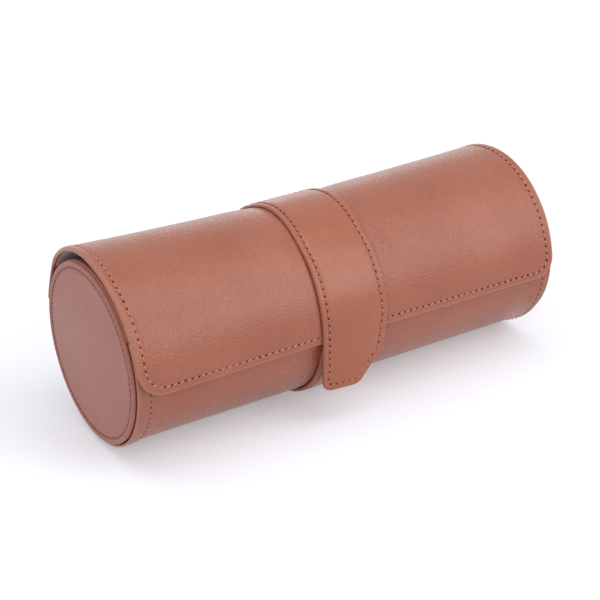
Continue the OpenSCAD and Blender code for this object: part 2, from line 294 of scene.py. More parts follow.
def ramp(tree, value, low, high, to_low=0.0, to_high=1.0):
    """Maps a value from one range to another, with its ends held."""
    node = tree.nodes.new("ShaderNodeMapRange")
    tree.links.new(value, node.inputs["Value"])
    for name, number in (("From Min", low), ("From Max", high),
                         ("To Min", to_low), ("To Max", to_high)):
        if isinstance(number, (int, float)):
            node.inputs[name].default_value = number
        else:
            tree.links.new(number, node.inputs[name])
    return node.outputs["Result"]


print("group helpers ready")

# %% Leather grain


def make_leather_grain():
    """Fine pebbled grain, pores and soft creases, coarser where Crumple says so."""
    group, source, target = new_group(
        "leather_grain", {"Vector": (0.0, 0.0, 0.0), "Cells": 1000.0, "Creases": 0.3,
                          "Crumple": 0.0}, ["Height", "Tone"])
    vector = source.outputs["Vector"]
    cells = group.nodes.new("ShaderNodeTexVoronoi")
    cells.feature = "SMOOTH_F1"
    cells.inputs["Smoothness"].default_value = 0.6
    group.links.new(vector, cells.inputs["Vector"])
    group.links.new(source.outputs["Cells"], cells.inputs["Scale"])
    pebbles = ramp(group, cells.outputs["Distance"], 0.15, 0.75, 1.0, 0.0)
    pores = noise_node(group, vector, 2600.0, 1.0)
    stretched = group.nodes.new("ShaderNodeVectorMath")
    stretched.operation = "MULTIPLY"
    stretched.inputs[1].default_value = (2.2, 1.0, 1.0)
    group.links.new(vector, stretched.inputs[0])
    folds = noise_node(group, stretched.outputs[0], 75.0, 4.0, 0.62)
    ridge = math_node(group, "ABSOLUTE", math_node(group, "SUBTRACT", folds, 0.5))
    crease = ramp(group, ridge, 0.0, 0.05, 0.0, 1.0)
    where = ramp(group, noise_node(group, vector, 22.0, 1.0), 0.45, 0.7)
    cut_in = math_node(group, "MULTIPLY", math_node(group, "SUBTRACT", crease, 1.0), where)
    fine = math_node(group, "ADD", math_node(group, "MULTIPLY", pebbles, 0.5),
                     math_node(group, "MULTIPLY", pores, 0.35))
    height = math_node(group, "ADD", fine,
                       math_node(group, "MULTIPLY", cut_in, source.outputs["Creases"]))
    bulges = group.nodes.new("ShaderNodeTexVoronoi")
    bulges.feature = "SMOOTH_F1"
    bulges.inputs["Scale"].default_value = 780.0
    group.links.new(vector, bulges.inputs["Vector"])
    coarse = ramp(group, bulges.outputs["Distance"], 0.1, 0.8, 1.4, 0.0)
    height = math_node(group, "ADD", height,
                       math_node(group, "MULTIPLY", coarse, source.outputs["Crumple"]))
    group.links.new(height, target.inputs["Height"])
    clouds = noise_node(group, vector, 26.0, 2.0, 0.5)
    mottle = noise_node(group, vector, 420.0, 3.0, 0.65)
    tone = math_node(group, "ADD", math_node(group, "MULTIPLY", clouds, 0.55),
                     math_node(group, "MULTIPLY", mottle, 0.27))
    tone = math_node(group, "ADD", tone, math_node(group, "MULTIPLY", pebbles, 0.18))
    group.links.new(tone, target.inputs["Tone"])
    return group


GRAIN = make_leather_grain()
print("group", GRAIN.name)

# %% Edge tone


def make_edge_tone():
    """1 on a panel's cut edge, fading to 0 over Width millimetres, broken up by a little noise."""
    group, source, target = new_group(
        "edge_tone", {"Vector": (0.0, 0.0, 0.0), "Distance": 10.0, "Width": 1.2}, ["Mask"])
    rough = noise_node(group, source.outputs["Vector"], 420.0, 2.0)
    shifted = math_node(group, "ADD", source.outputs["Distance"],
                        math_node(group, "MULTIPLY", math_node(group, "SUBTRACT", rough, 0.5), 0.5))
    mask = ramp(group, shifted, 0.0, source.outputs["Width"], 1.0, 0.0)
    group.links.new(mask, target.inputs["Mask"])
    return group


EDGE = make_edge_tone()
print("group", EDGE.name)

# %% Suede nap


def make_suede_nap():
    """Short brushed hairs and tufts: Height for the bump, Tone for lighter and darker spots."""
    group, source, target = new_group("suede_nap", {"Vector": (0.0, 0.0, 0.0), "Hairs": 3200.0},
                                      ["Height", "Tone"])
    vector = source.outputs["Vector"]
    hairs = noise_node(group, vector, source.outputs["Hairs"], 3.0, 0.7)
    strokes = noise_node(group, vector, 60.0, 3.0, 0.6)
    group.links.new(hairs, target.inputs["Height"])
    tufts = group.nodes.new("ShaderNodeTexVoronoi")
    tufts.inputs["Scale"].default_value = 1500.0
    group.links.new(vector, tufts.inputs["Vector"])
    speckle = ramp(group, tufts.outputs["Distance"], 0.2, 0.75, 1.0, 0.0)
    tone = math_node(group, "ADD", math_node(group, "MULTIPLY", strokes, 0.45),
                     math_node(group, "MULTIPLY", hairs, 0.3))
    tone = math_node(group, "ADD", tone, math_node(group, "MULTIPLY", speckle, 0.25))
    group.links.new(tone, target.inputs["Tone"])
    return group


NAP = make_suede_nap()
print("group", NAP.name)

# %% [markdown]
# ## The finishes
# Smooth tan leather is a plain colour that wanders a little, a soft broad gloss and a very fine
# bump. The end discs are the same hide, painted paler and cooler: a painted reflection of the
# white floor beside them. The cut edges are paler on the flap and the tub, where the leather is
# skived and turned, and that paler colour is partly a painted highlight along the rounded rim; on
# the strap they are darker, where edge paint is put on. Two values are stored on the points of each
# leather mesh: how far a point is from its cut edge, and how much the leather is crumpled there.
# The materials read both, so both move with the piece.

# %% Helpers for the finishes


def place_group(tree, group, **values):
    """Puts a node group in a tree with its own values."""
    node = tree.nodes.new("ShaderNodeGroup")
    node.node_tree = group
    for key, value in values.items():
        node.inputs[key].default_value = value
    return node


def object_coordinates(tree):
    """The place in the object's own space, so that a finish moves with its piece."""
    return tree.nodes.new("ShaderNodeTexCoord").outputs["Object"]


def mix_colour(tree, amount, first, second):
    """Mixes two colours, each a tuple or a socket."""
    node = tree.nodes.new("ShaderNodeMix")
    node.data_type = "RGBA"
    tree.links.new(amount, node.inputs["Factor"])
    for name, colour in (("A", first), ("B", second)):
        socket = [s for s in node.inputs if s.name == name and s.type == "RGBA"][0]
        if isinstance(colour, tuple):
            socket.default_value = (*colour, 1)
        else:
            tree.links.new(colour, socket)
    return [s for s in node.outputs if s.type == "RGBA"][0]


def add_bump(tree, shader, height, distance, strength=1.0):
    """Feeds a height into a shader's normal."""
    bump = tree.nodes.new("ShaderNodeBump")
    bump.inputs["Distance"].default_value = distance
    bump.inputs["Strength"].default_value = strength
    tree.links.new(height, bump.inputs["Height"])
    tree.links.new(bump.outputs[0], shader.inputs["Normal"])


print("finish helpers ready")

# %% Leather
GRAIN_CELLS = 1350.0
LEATHER_BUMP = 0.16 * MM
CRUMPLE_POLISH = 0.03


def make_leather(name, dark, light, edge, edge_width=1.2, gloss=0.26, creases=0.3,
                 grain_depth=1.0):
    """Smooth leather between a dark and a light tone, with its own colour along cut edges. A paler
    edge colour is partly a painted highlight along the rounded rim.
    """
    material, tree, out = new_material(name)
    shader = tree.nodes.new("ShaderNodeBsdfPrincipled")
    tree.links.new(shader.outputs[0], out.inputs["Surface"])
    vector = object_coordinates(tree)
    grain = place_group(tree, GRAIN, Cells=GRAIN_CELLS, Creases=creases)
    crumple = tree.nodes.new("ShaderNodeAttribute")
    crumple.attribute_name = "crumple"
    tree.links.new(crumple.outputs["Fac"], grain.inputs["Crumple"])
    tree.links.new(vector, grain.inputs["Vector"])
    tone = ramp(tree, grain.outputs["Tone"], 0.36, 0.70)
    hide = mix_colour(tree, tone, dark, light)
    distance = tree.nodes.new("ShaderNodeAttribute")
    distance.attribute_name = "edge_mm"
    edge_mask = place_group(tree, EDGE, Width=edge_width)
    tree.links.new(vector, edge_mask.inputs["Vector"])
    tree.links.new(distance.outputs["Fac"], edge_mask.inputs["Distance"])
    tree.links.new(mix_colour(tree, edge_mask.outputs["Mask"], hide, edge),
                   shader.inputs["Base Color"])
    rough = ramp(tree, grain.outputs["Tone"], 0.3, 0.7, gloss + 0.06, gloss - 0.04)
    polished = math_node(tree, "MULTIPLY", crumple.outputs["Fac"], CRUMPLE_POLISH)
    tree.links.new(math_node(tree, "SUBTRACT", rough, polished), shader.inputs["Roughness"])
    shader.inputs["Specular IOR Level"].default_value = 0.38
    add_bump(tree, shader, grain.outputs["Height"], LEATHER_BUMP, grain_depth)
    return material


# The tan's edge colour is paler than its hide: the skived, turned edge, and partly a painted
# highlight along its rounded rim.
tan = make_leather("tan_leather", (0.322, 0.096, 0.052), (0.390, 0.128, 0.074),
                   (0.43, 0.160, 0.102))
tan_strap = make_leather("tan_strap_leather", (0.340, 0.100, 0.052), (0.405, 0.131, 0.072),
                         (0.34, 0.104, 0.058), edge_width=0.9, grain_depth=0.45)
# The disc leather is the tan hide painted paler and cooler, a painted reflection of the white floor
# beside the ends.
disc_hide_and_reflection = make_leather("disc_leather", (0.350, 0.115, 0.079), (0.410, 0.144, 0.101),
                        (0.40, 0.14, 0.10), gloss=0.38, creases=0.1, grain_depth=0.4)
print("leathers:", tan.name, tan_strap.name, disc_hide_and_reflection.name)

# %% Suede, board, foam, thread and metal


def make_suede(name, dark, light):
    """Brushed suede, matt, with a pale sheen at a flat angle."""
    material, tree, out = new_material(name)
    shader = tree.nodes.new("ShaderNodeBsdfPrincipled")
    tree.links.new(shader.outputs[0], out.inputs["Surface"])
    nap = place_group(tree, NAP, Hairs=3200.0)
    tree.links.new(object_coordinates(tree), nap.inputs["Vector"])
    tone = ramp(tree, nap.outputs["Tone"], 0.30, 0.78)
    tree.links.new(mix_colour(tree, tone, dark, light), shader.inputs["Base Color"])
    shader.inputs["Roughness"].default_value = 0.95
    shader.inputs["Specular IOR Level"].default_value = 0.15
    shader.inputs["Sheen Weight"].default_value = 0.5
    shader.inputs["Sheen Roughness"].default_value = 0.35
    add_bump(tree, shader, nap.outputs["Height"], 0.00012, 0.9)
    return material


def make_plain(name, dark, light, roughness, scale, metallic=0.0, bump=0.00005, gloss=0.5):
    """A simple finish whose tone wanders with noise at one scale."""
    material, tree, out = new_material(name)
    shader = tree.nodes.new("ShaderNodeBsdfPrincipled")
    tree.links.new(shader.outputs[0], out.inputs["Surface"])
    grain = noise_node(tree, object_coordinates(tree), scale, 3.0)
    tree.links.new(mix_colour(tree, ramp(tree, grain, 0.35, 0.65), dark, light),
                   shader.inputs["Base Color"])
    shader.inputs["Roughness"].default_value = roughness
    shader.inputs["Metallic"].default_value = metallic
    shader.inputs["Specular IOR Level"].default_value = gloss
    add_bump(tree, shader, grain, bump, 0.6)
    return material


suede = make_suede("grey_suede", (0.33, 0.295, 0.250), (0.52, 0.475, 0.415))
pillow_suede = make_suede("pillow_suede", (0.37, 0.330, 0.280), (0.56, 0.510, 0.445))
fibre_board = make_plain("fibre_board", (0.36, 0.28, 0.18), (0.50, 0.41, 0.28), 0.9, 900)
thread = make_plain("tan_thread", (0.50, 0.215, 0.150), (0.64, 0.310, 0.225), 0.6, 2500,
                    gloss=0.3)
quiet_thread = make_plain("quiet_thread", (0.42, 0.165, 0.105), (0.54, 0.240, 0.165), 0.6, 2500,
                          gloss=0.3)
lining_thread = make_plain("lining_thread", (0.48, 0.43, 0.37), (0.62, 0.57, 0.50), 0.7, 2500,
                           gloss=0.2)
disc_thread = make_plain("disc_thread", (0.36, 0.15, 0.12), (0.46, 0.22, 0.18), 0.6, 2500)
# The two needle-hole finishes are painted shade: dark colours that stand for the hollow of each hole,
# in leather and in suede.
needle_hole_shade = make_plain("needle_hole_shade", (0.085, 0.017, 0.010), (0.150, 0.036, 0.021), 1.0, 2500,
                         gloss=0.0)
suede_hole_shade = make_plain("suede_hole_shade", (0.16, 0.14, 0.11), (0.22, 0.19, 0.16), 1.0, 2500, gloss=0.0)
nickel = make_plain("brushed_nickel", (0.40, 0.39, 0.37), (0.52, 0.51, 0.49), 0.34, 1800, 1.0)
print("suede, board, thread and nickel ready")

# %% [markdown]
# ## Cutting and wrapping panels
# A leather worker cuts a flat pattern and wraps it round a form. The helpers do the same. A
# pattern is a flat outline with rounded corners. It is sliced into small faces, each point is
# sent through a *wrap*, a formula from the flat pattern to the round form, and a half-round rim
# joins the outer face to the inner one, as a folded or burnished edge looks.

# %% Outlines with rounded corners


def rounded(corners, radii, steps=9):
    """A convex outline, anticlockwise, with an arc at every corner."""
    points = []
    corners = [np.array(c, float) for c in corners]
    for i, corner in enumerate(corners):
        to_last = corners[i - 1] - corner
        to_next = corners[(i + 1) % len(corners)] - corner
        to_last = to_last / np.linalg.norm(to_last)
        to_next = to_next / np.linalg.norm(to_next)
        half_angle = math.acos(float(np.clip(to_last @ to_next, -1, 1))) / 2
        middle = (to_last + to_next) / np.linalg.norm(to_last + to_next)
        centre = corner + middle * radii[i] / math.sin(half_angle)
        first = corner + to_last * radii[i] / math.tan(half_angle) - centre
        last = corner + to_next * radii[i] / math.tan(half_angle) - centre
        turn_0 = math.atan2(first[1], first[0])
        turn = (math.atan2(last[1], last[0]) - turn_0 + math.pi) % (2 * math.pi) - math.pi
        for k in range(steps + 1):
            a = turn_0 + turn * k / steps
            points.append(centre + radii[i] * np.array((math.cos(a), math.sin(a))))
    return np.array(points)


def inset(points, distance):
    """Moves every edge of a convex anticlockwise outline inwards."""
    moved = []
    count = len(points)
    for i in range(count):
        before = points[i] - points[i - 1]
        after = points[(i + 1) % count] - points[i]
        before = before / np.linalg.norm(before)
        after = after / np.linalg.norm(after)
        normal = np.array((-before[1] - after[1], before[0] + after[0]))
        normal = normal / np.linalg.norm(normal)
        lean = normal @ np.array((-after[1], after[0]))
        moved.append(points[i] + normal * distance / max(lean, 0.3))
    return np.array(moved)


def edge_distance(points, outline):
    """How far each point lies from the outline."""
    first = outline
    along = np.roll(outline, -1, axis=0) - first
    length2 = np.maximum((along ** 2).sum(1), 1e-18)
    nearest = np.full(len(points), 1e9)
    for a, d, l2 in zip(first, along, length2):
        t = np.clip(((points - a) @ d) / l2, 0, 1)
        nearest = np.minimum(nearest, np.linalg.norm(points - a - t[:, None] * d, axis=1))
    return nearest


print("outline helpers ready")

# %% Places to slice a pattern


def slices(low, high, step, fine=0.8 * MM, border=7 * MM):
    """Places from low to high: close together near both ends, a step apart between them."""
    near = np.arange(fine, border, fine)
    middle = np.linspace(low + border, high - border, max(2, round((high - low - 2 * border) / step)))
    return [*(low + near), *middle, *(high - near[::-1])]


# %% Slice, wrap and give thickness


def make_object(name, points, faces, material, smooth=True):
    """A mesh object from points and faces, welded and with its normals outwards."""
    mesh = bpy.data.meshes.new(name)
    mesh.from_pydata([tuple(p) for p in points], [], faces)
    work = bmesh.new()
    work.from_mesh(mesh)
    bmesh.ops.remove_doubles(work, verts=work.verts, dist=2e-6)
    bmesh.ops.recalc_face_normals(work, faces=work.faces)
    work.to_mesh(mesh)
    work.free()
    mesh.polygons.foreach_set("use_smooth", [smooth] * len(mesh.polygons))
    mesh.materials.append(material)
    piece = bpy.data.objects.new(name, mesh)
    bpy.context.scene.collection.objects.link(piece)
    return piece


def ring_faces(rings, around, closed=False, first=0):
    """Four-sided faces that join each ring of points to the next one."""
    faces = []
    for i in range(rings if closed else rings - 1):
        j = (i + 1) % rings
        for k in range(around):
            n = (k + 1) % around
            faces.append([first + i * around + k, first + i * around + n,
                          first + j * around + n, first + j * around + k])
    return faces


def squared_off(value, power):
    """A sine or cosine whose round is pushed towards a square as the power falls below 1."""
    return math.copysign(abs(value) ** power, value)


def slice_pattern(outline, lines_u, lines_v):
    """A flat mesh of the outline, cut along lines of constant u and of constant v."""
    flat = bmesh.new()
    flat.faces.new([flat.verts.new((u, v, 0)) for u, v in outline])
    for normal, places in (((1, 0, 0), lines_u), ((0, 1, 0), lines_v)):
        for place in places:
            bmesh.ops.bisect_plane(flat, geom=flat.verts[:] + flat.edges[:] + flat.faces[:],
                                   dist=3e-5, plane_co=Vector(normal) * place, plane_no=normal)
    flat.verts.index_update()
    return flat


RIM_STEPS = 6


def make_panel(name, outline, wrap, thickness, material, step=2.5 * MM, relief=None,
               fine=0.8 * MM, border=7 * MM):
    """A leather panel. wrap(u, v, h) gives the place of a pattern point, h above the outer face.
    thickness is a number or a formula of u and v; relief is a formula of the edge distance."""
    if not callable(thickness):
        thick_number = thickness
        thickness = lambda u, v: np.full(len(u), thick_number)
    rim = float(thickness(outline[:1, 0], outline[:1, 1])[0]) / 2
    flat_outline = inset(outline, rim)
    low, high = outline.min(0), outline.max(0)
    flat = slice_pattern(flat_outline, slices(low[0], high[0], step, fine, border),
                         slices(low[1], high[1], step, fine, border))
    uv = np.array([(v.co.x, v.co.y) for v in flat.verts])
    faces = [[v.index for v in f.verts] for f in flat.faces]
    after = {}
    for edge in flat.edges:
        if len(edge.link_faces) == 1:
            loop = edge.link_loops[0]
            after[loop.vert.index] = loop.link_loop_next.vert.index
    flat.free()
    ring = [next(iter(after))]
    while after[ring[-1]] != ring[0]:
        ring.append(after[ring[-1]])
    u, v = uv[:, 0], uv[:, 1]
    distance = edge_distance(uv, outline)
    lift = relief(u, v, distance) if relief else np.zeros(len(u))
    outer = wrap(u, v, lift)
    inner = wrap(u, v, -thickness(u, v))

    ring_uv = uv[ring]
    chord = np.roll(ring_uv, -1, axis=0) - np.roll(ring_uv, 1, axis=0)
    chord = chord / np.linalg.norm(chord, axis=1)[:, None]
    outward = np.stack([chord[:, 1], -chord[:, 0]], 1)
    small = 0.05 * MM
    here = wrap(ring_uv[:, 0], ring_uv[:, 1], np.zeros(len(ring)))
    there = wrap(ring_uv[:, 0] + outward[:, 0] * small, ring_uv[:, 1] + outward[:, 1] * small,
                 np.zeros(len(ring)))
    side = (there - here) / np.linalg.norm(there - here, axis=1)[:, None]
    top, bottom = outer[ring], inner[ring]
    middle = (top + bottom) / 2
    up = (top - bottom) / 2
    half_thick = np.linalg.norm(up, axis=1)[:, None]
    points = [outer, inner]
    edge_values = [distance, distance]
    count = len(u)
    rings = [ring]
    for k in range(1, RIM_STEPS):
        a = math.pi * k / RIM_STEPS
        points.append(middle + up * math.cos(a) + side * half_thick * math.sin(a))
        edge_values.append(distance[ring] * (1 - math.sin(a)))
        start = 2 * count + (k - 1) * len(ring)
        rings.append(list(range(start, start + len(ring))))
    rings.append([i + count for i in ring])
    faces += [[i + count for i in reversed(f)] for f in faces]
    for upper, lower in zip(rings, rings[1:]):
        for i in range(len(ring)):
            j = (i + 1) % len(ring)
            faces.append([upper[j], upper[i], lower[i], lower[j]])
    points = np.concatenate(points)
    values = np.concatenate(edge_values) / MM
    mesh_points = len(points)
    piece = make_object(name, points, faces, material)
    give_edge_values(piece, points, values)
    print(name, mesh_points, "points")
    return piece


def give_edge_values(piece, points, values):
    """Stores the edge distance, in millimetres, on the points of a welded mesh."""
    mesh = piece.data
    attribute = mesh.attributes.new("edge_mm", "FLOAT", "POINT")
    known = {}
    for p, value in zip(np.round(points / (4e-6)).astype(int), values):
        known[tuple(p)] = value
    co = np.zeros(len(mesh.vertices) * 3)
    mesh.vertices.foreach_get("co", co)
    keys = np.round(co.reshape(-1, 3) / (4e-6)).astype(int)
    attribute.data.foreach_set("value", [known.get(tuple(k), 5.0) for k in keys])


def plain_edges(piece, value=9.0):
    """Gives a piece that has no cut edge one edge value all over."""
    attribute = piece.data.attributes.new("edge_mm", "FLOAT", "POINT")
    attribute.data.foreach_set("value", [value] * len(piece.data.vertices))


print("panel helpers ready")

# %% [markdown]
# ## Stitches
# Saddle stitching shows as a row of small needle holes with a slanted bar of thread between each
# pair. Each bar is a short fat tube that dips at both ends, and the holes are tiny sunk beads in a
# dark finish, painted shade that stands for the hollow of each hole, so that the line reads from
# any side. One call sews one line.

# %% Sew a line of stitches
THREAD_R = 0.29 * MM
HOLE_R = 0.50 * MM


def tube_bar(centre, along, across, up, length, radius):
    """Points and faces of one thread bar that dips at its two ends."""
    points = []
    sides = 6
    for t, size in ((-1, 0.35), (-0.72, 0.85), (-0.3, 1), (0.3, 1), (0.72, 0.85), (1, 0.35)):
        arch = radius * (0.75 - 1.5 * t * t)
        middle = centre + along * (t * length / 2) + up * arch
        for s in range(sides):
            a = 2 * math.pi * s / sides
            points.append(middle + (across * math.cos(a) + up * math.sin(a)) * radius * size)
    faces = ring_faces(6, sides)
    faces.append(list(range(sides))[::-1])
    faces.append(list(range(5 * sides, 6 * sides)))
    return points, faces


def bead(centre, along, across, up, radius):
    """Points and faces of one flat bead at a needle hole; its dark finish is painted shade for the
    hollow of the hole.
    """
    points = []
    sides = 8
    for size, rise in ((1.0, -0.3), (1.0, 0.16), (0.6, 0.32)):
        for s in range(sides):
            a = 2 * math.pi * s / sides
            points.append(centre + (along * math.cos(a) * 1.25 + across * math.sin(a) * 0.85)
                          * radius * size + up * radius * rise)
    faces = ring_faces(3, sides)
    faces.append(list(range(sides))[::-1])
    faces.append(list(range(2 * sides, 3 * sides)))
    return points, faces


def evenly(line, pitch, closed):
    """Places a pitch apart along a line of pattern points."""
    line = np.array(line)
    if closed:
        line = np.vstack([line, line[:1]])
    steps = np.linalg.norm(np.diff(line, axis=0), axis=1)
    travelled = np.concatenate([[0], np.cumsum(steps)])
    count = max(2, round(travelled[-1] / pitch))
    at = (np.arange(count) + 0.5) * travelled[-1] / count
    return np.stack([np.interp(at, travelled, line[:, i]) for i in (0, 1)], 1)


def sew(name, line, wrap, height, pitch, closed=False, slant=18, yarn=None, hole=HOLE_R,
        hole_shade_finish=None):
    """Sews one line. Returns the thread piece and the needle-hole piece, whose dark beads are painted
    shade.
    """
    rng = np.random.default_rng(len(name) * 7 + len(line))
    stitch = evenly(line, pitch, closed)
    small = 0.2 * MM
    base = wrap(stitch[:, 0], stitch[:, 1], np.full(len(stitch), height))
    above = wrap(stitch[:, 0], stitch[:, 1], np.full(len(stitch), height + small))
    ahead = np.roll(base, -1, axis=0) - np.roll(base, 1, axis=0)
    if not closed:
        ahead[0], ahead[-1] = base[1] - base[0], base[-1] - base[-2]
    threads, thread_faces, holes, hole_faces = [], [], [], []
    for i in range(len(stitch)):
        up = (above[i] - base[i]) / np.linalg.norm(above[i] - base[i])
        tangent = ahead[i] - up * (ahead[i] @ up)
        tangent = tangent / np.linalg.norm(tangent)
        side = np.cross(up, tangent)
        turn = math.radians(slant + rng.uniform(-4, 4))
        along = tangent * math.cos(turn) + side * math.sin(turn)
        across = np.cross(up, along)
        p, f = tube_bar(base[i], along, across, up, pitch * rng.uniform(0.50, 0.60), THREAD_R)
        thread_faces += [[k + len(threads) for k in face] for face in f]
        threads += p
        p, f = bead(base[i] + tangent * pitch / 2, along, across, up,
                    hole * rng.uniform(0.82, 1.12))
        hole_faces += [[k + len(holes) for k in face] for face in f]
        holes += p
    thread_piece = make_object(name + "_thread", threads, thread_faces, yarn or thread)
    hole_shade_piece = make_object(name + "_hole_shade", holes, hole_faces, hole_shade_finish or needle_hole_shade)
    print(name, len(stitch), "stitches")
    return thread_piece, hole_shade_piece


def stitch_groove(place, depth=0.22 * MM, width=0.9 * MM):
    """The valley that a tight line of stitches presses into leather."""
    return lambda distance: -depth * np.exp(-((distance - place) / width) ** 2)


print("ready to sew")

# %% [markdown]
# ## Shape of the flap
# The flap is not a plain half pipe. The strap pulls it in at the waist, its two ends stand out a
# little from the discs, and at the front it must pass outside the tub. One formula gives its
# radius at any place, and the flap, its lining and the strap all follow it.

# %% The flap's radius
FLAP_REF_R = 39.6 * MM
SEAM_R = TUB_R + 1.1 * MM
MIDDLE_R = 39.75 * MM
FRONT_R = 39.95 * MM
WAIST_HALF = 20 * MM
TOP_FLARE_LEFT = 1.5 * MM
TOP_FLARE_RIGHT = 1.45 * MM
TOP_BULGE_LEFT = 1.8 * MM
FRONT_FLARE = 1.15 * MM
STRAP_DIP = 1.15 * MM
HEM_FLARE = 0.75 * MM
FLAP_THICK = 2.05 * MM
HINGE_THICK = 1.0 * MM


def ease(value, low, high):
    """0 below low, 1 above high, and a smooth step between."""
    t = np.clip((value - low) / (high - low), 0, 1)
    return t * t * (3 - 2 * t)


def hem_flare(x):
    """How far the tub's leather stands out near its ends, where its hem is turned in."""
    return HEM_FLARE * ease(np.abs(x), END_X - 9 * MM, END_X - 2 * MM)


def flap_radius(x, deg):
    """Radius of the flap's outer face at a place along the roll and an angle."""
    span = FLAP_HALF - WAIST_HALF
    left = np.clip((-x - WAIST_HALF) / span, 0, 1) ** 1.4
    right = np.clip((x - WAIST_HALF) / span, 0, 1) ** 1.4
    bulge = np.exp(-((deg - 66) / 34) ** 2)
    under_strap = np.exp(-((x - STRAP_MID - 1 * MM) / (19 * MM)) ** 4)
    dip = STRAP_DIP * under_strap * ease(deg, 44, 62) * (1 - ease(deg, 122, 143))
    top = (MIDDLE_R + left * (TOP_FLARE_LEFT + TOP_BULGE_LEFT * bulge)
           + right * TOP_FLARE_RIGHT - dip)
    front = FRONT_R + FRONT_FLARE * (left + right)
    to_front = ease(deg, 118, 146)
    body = top * (1 - to_front) + front * to_front
    from_seam = ease(deg, 20, 48)
    return (SEAM_R + hem_flare(x)) * (1 - from_seam) + body * from_seam


def flap_thickness(u, v):
    """One ply over the fold, three plies beyond it."""
    deg = np.degrees(v / FLAP_REF_R)
    return HINGE_THICK + (FLAP_THICK - HINGE_THICK) * ease(deg, 34, 44)


def ripple(x, deg, size):
    """A slow, faint unevenness, as hand-laid leather has."""
    return np.array([noise.noise(Vector((a * 45, b * 0.05, 3.1))) for a, b in zip(x, deg)]) * size


def wrap_flap(u, v, h):
    """From the flap's pattern to its place; v runs from the back over the top."""
    angle = v / FLAP_REF_R
    r = flap_radius(u, np.degrees(angle)) + h
    return np.stack([u, r * np.cos(angle), AXIS_Z + r * np.sin(angle)], 1)


def at_degrees(deg, r):
    """Length along an arc of radius r from the back to an angle."""
    return math.radians(deg) * r


print("flap radius at the waist %.1f mm, at the ends %.1f mm"
      % (flap_radius(0.0, 80.0) / MM, flap_radius(FLAP_HALF, 80.0) / MM))

# %% Cut and sew the flap
STITCH_PITCH = 3.0 * MM
FLAP_CORNER_LEFT = 11.5 * MM
FLAP_CORNER_RIGHT = 8.5 * MM
FRONT_DRAWN_IN = 1.0 * MM
FRONT_DRAWN_UP = 0.8 * MM
SEAM_CORNER = 2.0 * MM
FLAP_STITCH_IN = 3.0 * MM

flap_low = at_degrees(FLAP_SEAM_DEG, FLAP_REF_R)
flap_high = at_degrees(FLAP_FRONT_DEG, FLAP_REF_R)
flap_corners = [(-FLAP_HALF, flap_low), (FLAP_HALF, flap_low),
                (FLAP_HALF - FRONT_DRAWN_IN / 2, flap_high),
                (-FLAP_HALF + FRONT_DRAWN_IN, flap_high - FRONT_DRAWN_UP)]
flap_radii = [SEAM_CORNER, SEAM_CORNER, FLAP_CORNER_RIGHT, FLAP_CORNER_LEFT]
groove = stitch_groove(FLAP_STITCH_IN)


def flap_relief(u, v, distance):
    """Stitch valley and a faint unevenness on the flap's face."""
    puff = 0.14 * MM * np.exp(-((distance - FLAP_STITCH_IN / 2) / (0.9 * MM)) ** 2)
    return groove(distance) + puff + ripple(u, np.degrees(v / FLAP_REF_R), 0.15 * MM)


def mark_crumple(piece):
    """Marks where the strap has worked the flap's leather, just beside its two edges."""
    spots = ((STRAP_RIGHT + 6 * MM, 130, 5 * MM, 14, 2.2),
             (STRAP_LEFT - 9 * MM, 130, 9 * MM, 8, 0.45))
    values = []
    for v in piece.data.vertices:
        deg = math.degrees(math.atan2(v.co.z - AXIS_Z, v.co.y))
        values.append(sum(size * math.exp(-((v.co.x - x) / wide) ** 2 - ((deg - at) / reach) ** 2)
                          for x, at, wide, reach, size in spots))
    piece.data.attributes.new("crumple", "FLOAT", "POINT").data.foreach_set("value", values)


flap = make_panel("flap_cover", rounded(flap_corners, flap_radii), wrap_flap, flap_thickness, tan,
                  relief=flap_relief)
mark_crumple(flap)
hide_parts("flap_leather", "flap_board", "hinge_strip")
flap_line = rounded([tuple(c) for c in inset(np.array(flap_corners), FLAP_STITCH_IN)],
                    [max(r - FLAP_STITCH_IN, 0.4 * MM) for r in flap_radii])
flap_sewn = sew("flap_seam", flap_line, wrap_flap, -0.22 * MM, STITCH_PITCH, closed=True)

# %% [markdown]
# ## The fold at the back
# The flap's leather runs on past the tub's lip and is sewn to the back of the tub, so it bends
# when the flap opens. Here the flap and its stitches only have their placement baked into their
# points; no blend and no fold are made.

# %% Bake the flap's placement into its points
for piece in (flap, *flap_sewn):
    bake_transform(piece)

# %% [markdown]
# ## The flap's lining
# The suede lining is glued inside the flap a little short of its edge, so the leather shows as a
# narrow border. It could be a plain offset copy of the flap. Cutting it as its own panel gives it
# an edge of its own, and the line of stitches near that edge can follow its outline.

# %% Line the flap with suede
LINING_IN = 1.3 * MM
LINING_THICK = 0.35 * MM
lining_low = at_degrees(BACK_LIP_DEG + 4, FLAP_REF_R)
lining_corners = [(-FLAP_HALF + LINING_IN, lining_low), (FLAP_HALF - LINING_IN, lining_low),
                  (FLAP_HALF - LINING_IN, flap_high - LINING_IN),
                  (-FLAP_HALF + LINING_IN, flap_high - LINING_IN)]


def wrap_flap_lining(u, v, h):
    """Just under the flap's inner face."""
    return wrap_flap(u, v, h - flap_thickness(u, v) + 0.12 * MM)


flap_lining = make_panel("flap_suede", rounded(lining_corners, [2 * MM, 2 * MM, 9 * MM, 9 * MM]),
                         wrap_flap_lining, LINING_THICK, suede, step=3.5 * MM)
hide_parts("flap_lining")
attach(flap_lining, "flap")


def wrap_lining_face(u, v, h):
    """The lining's visible face, with its height counted towards the inside."""
    return wrap_flap_lining(u, v, -LINING_THICK - h)


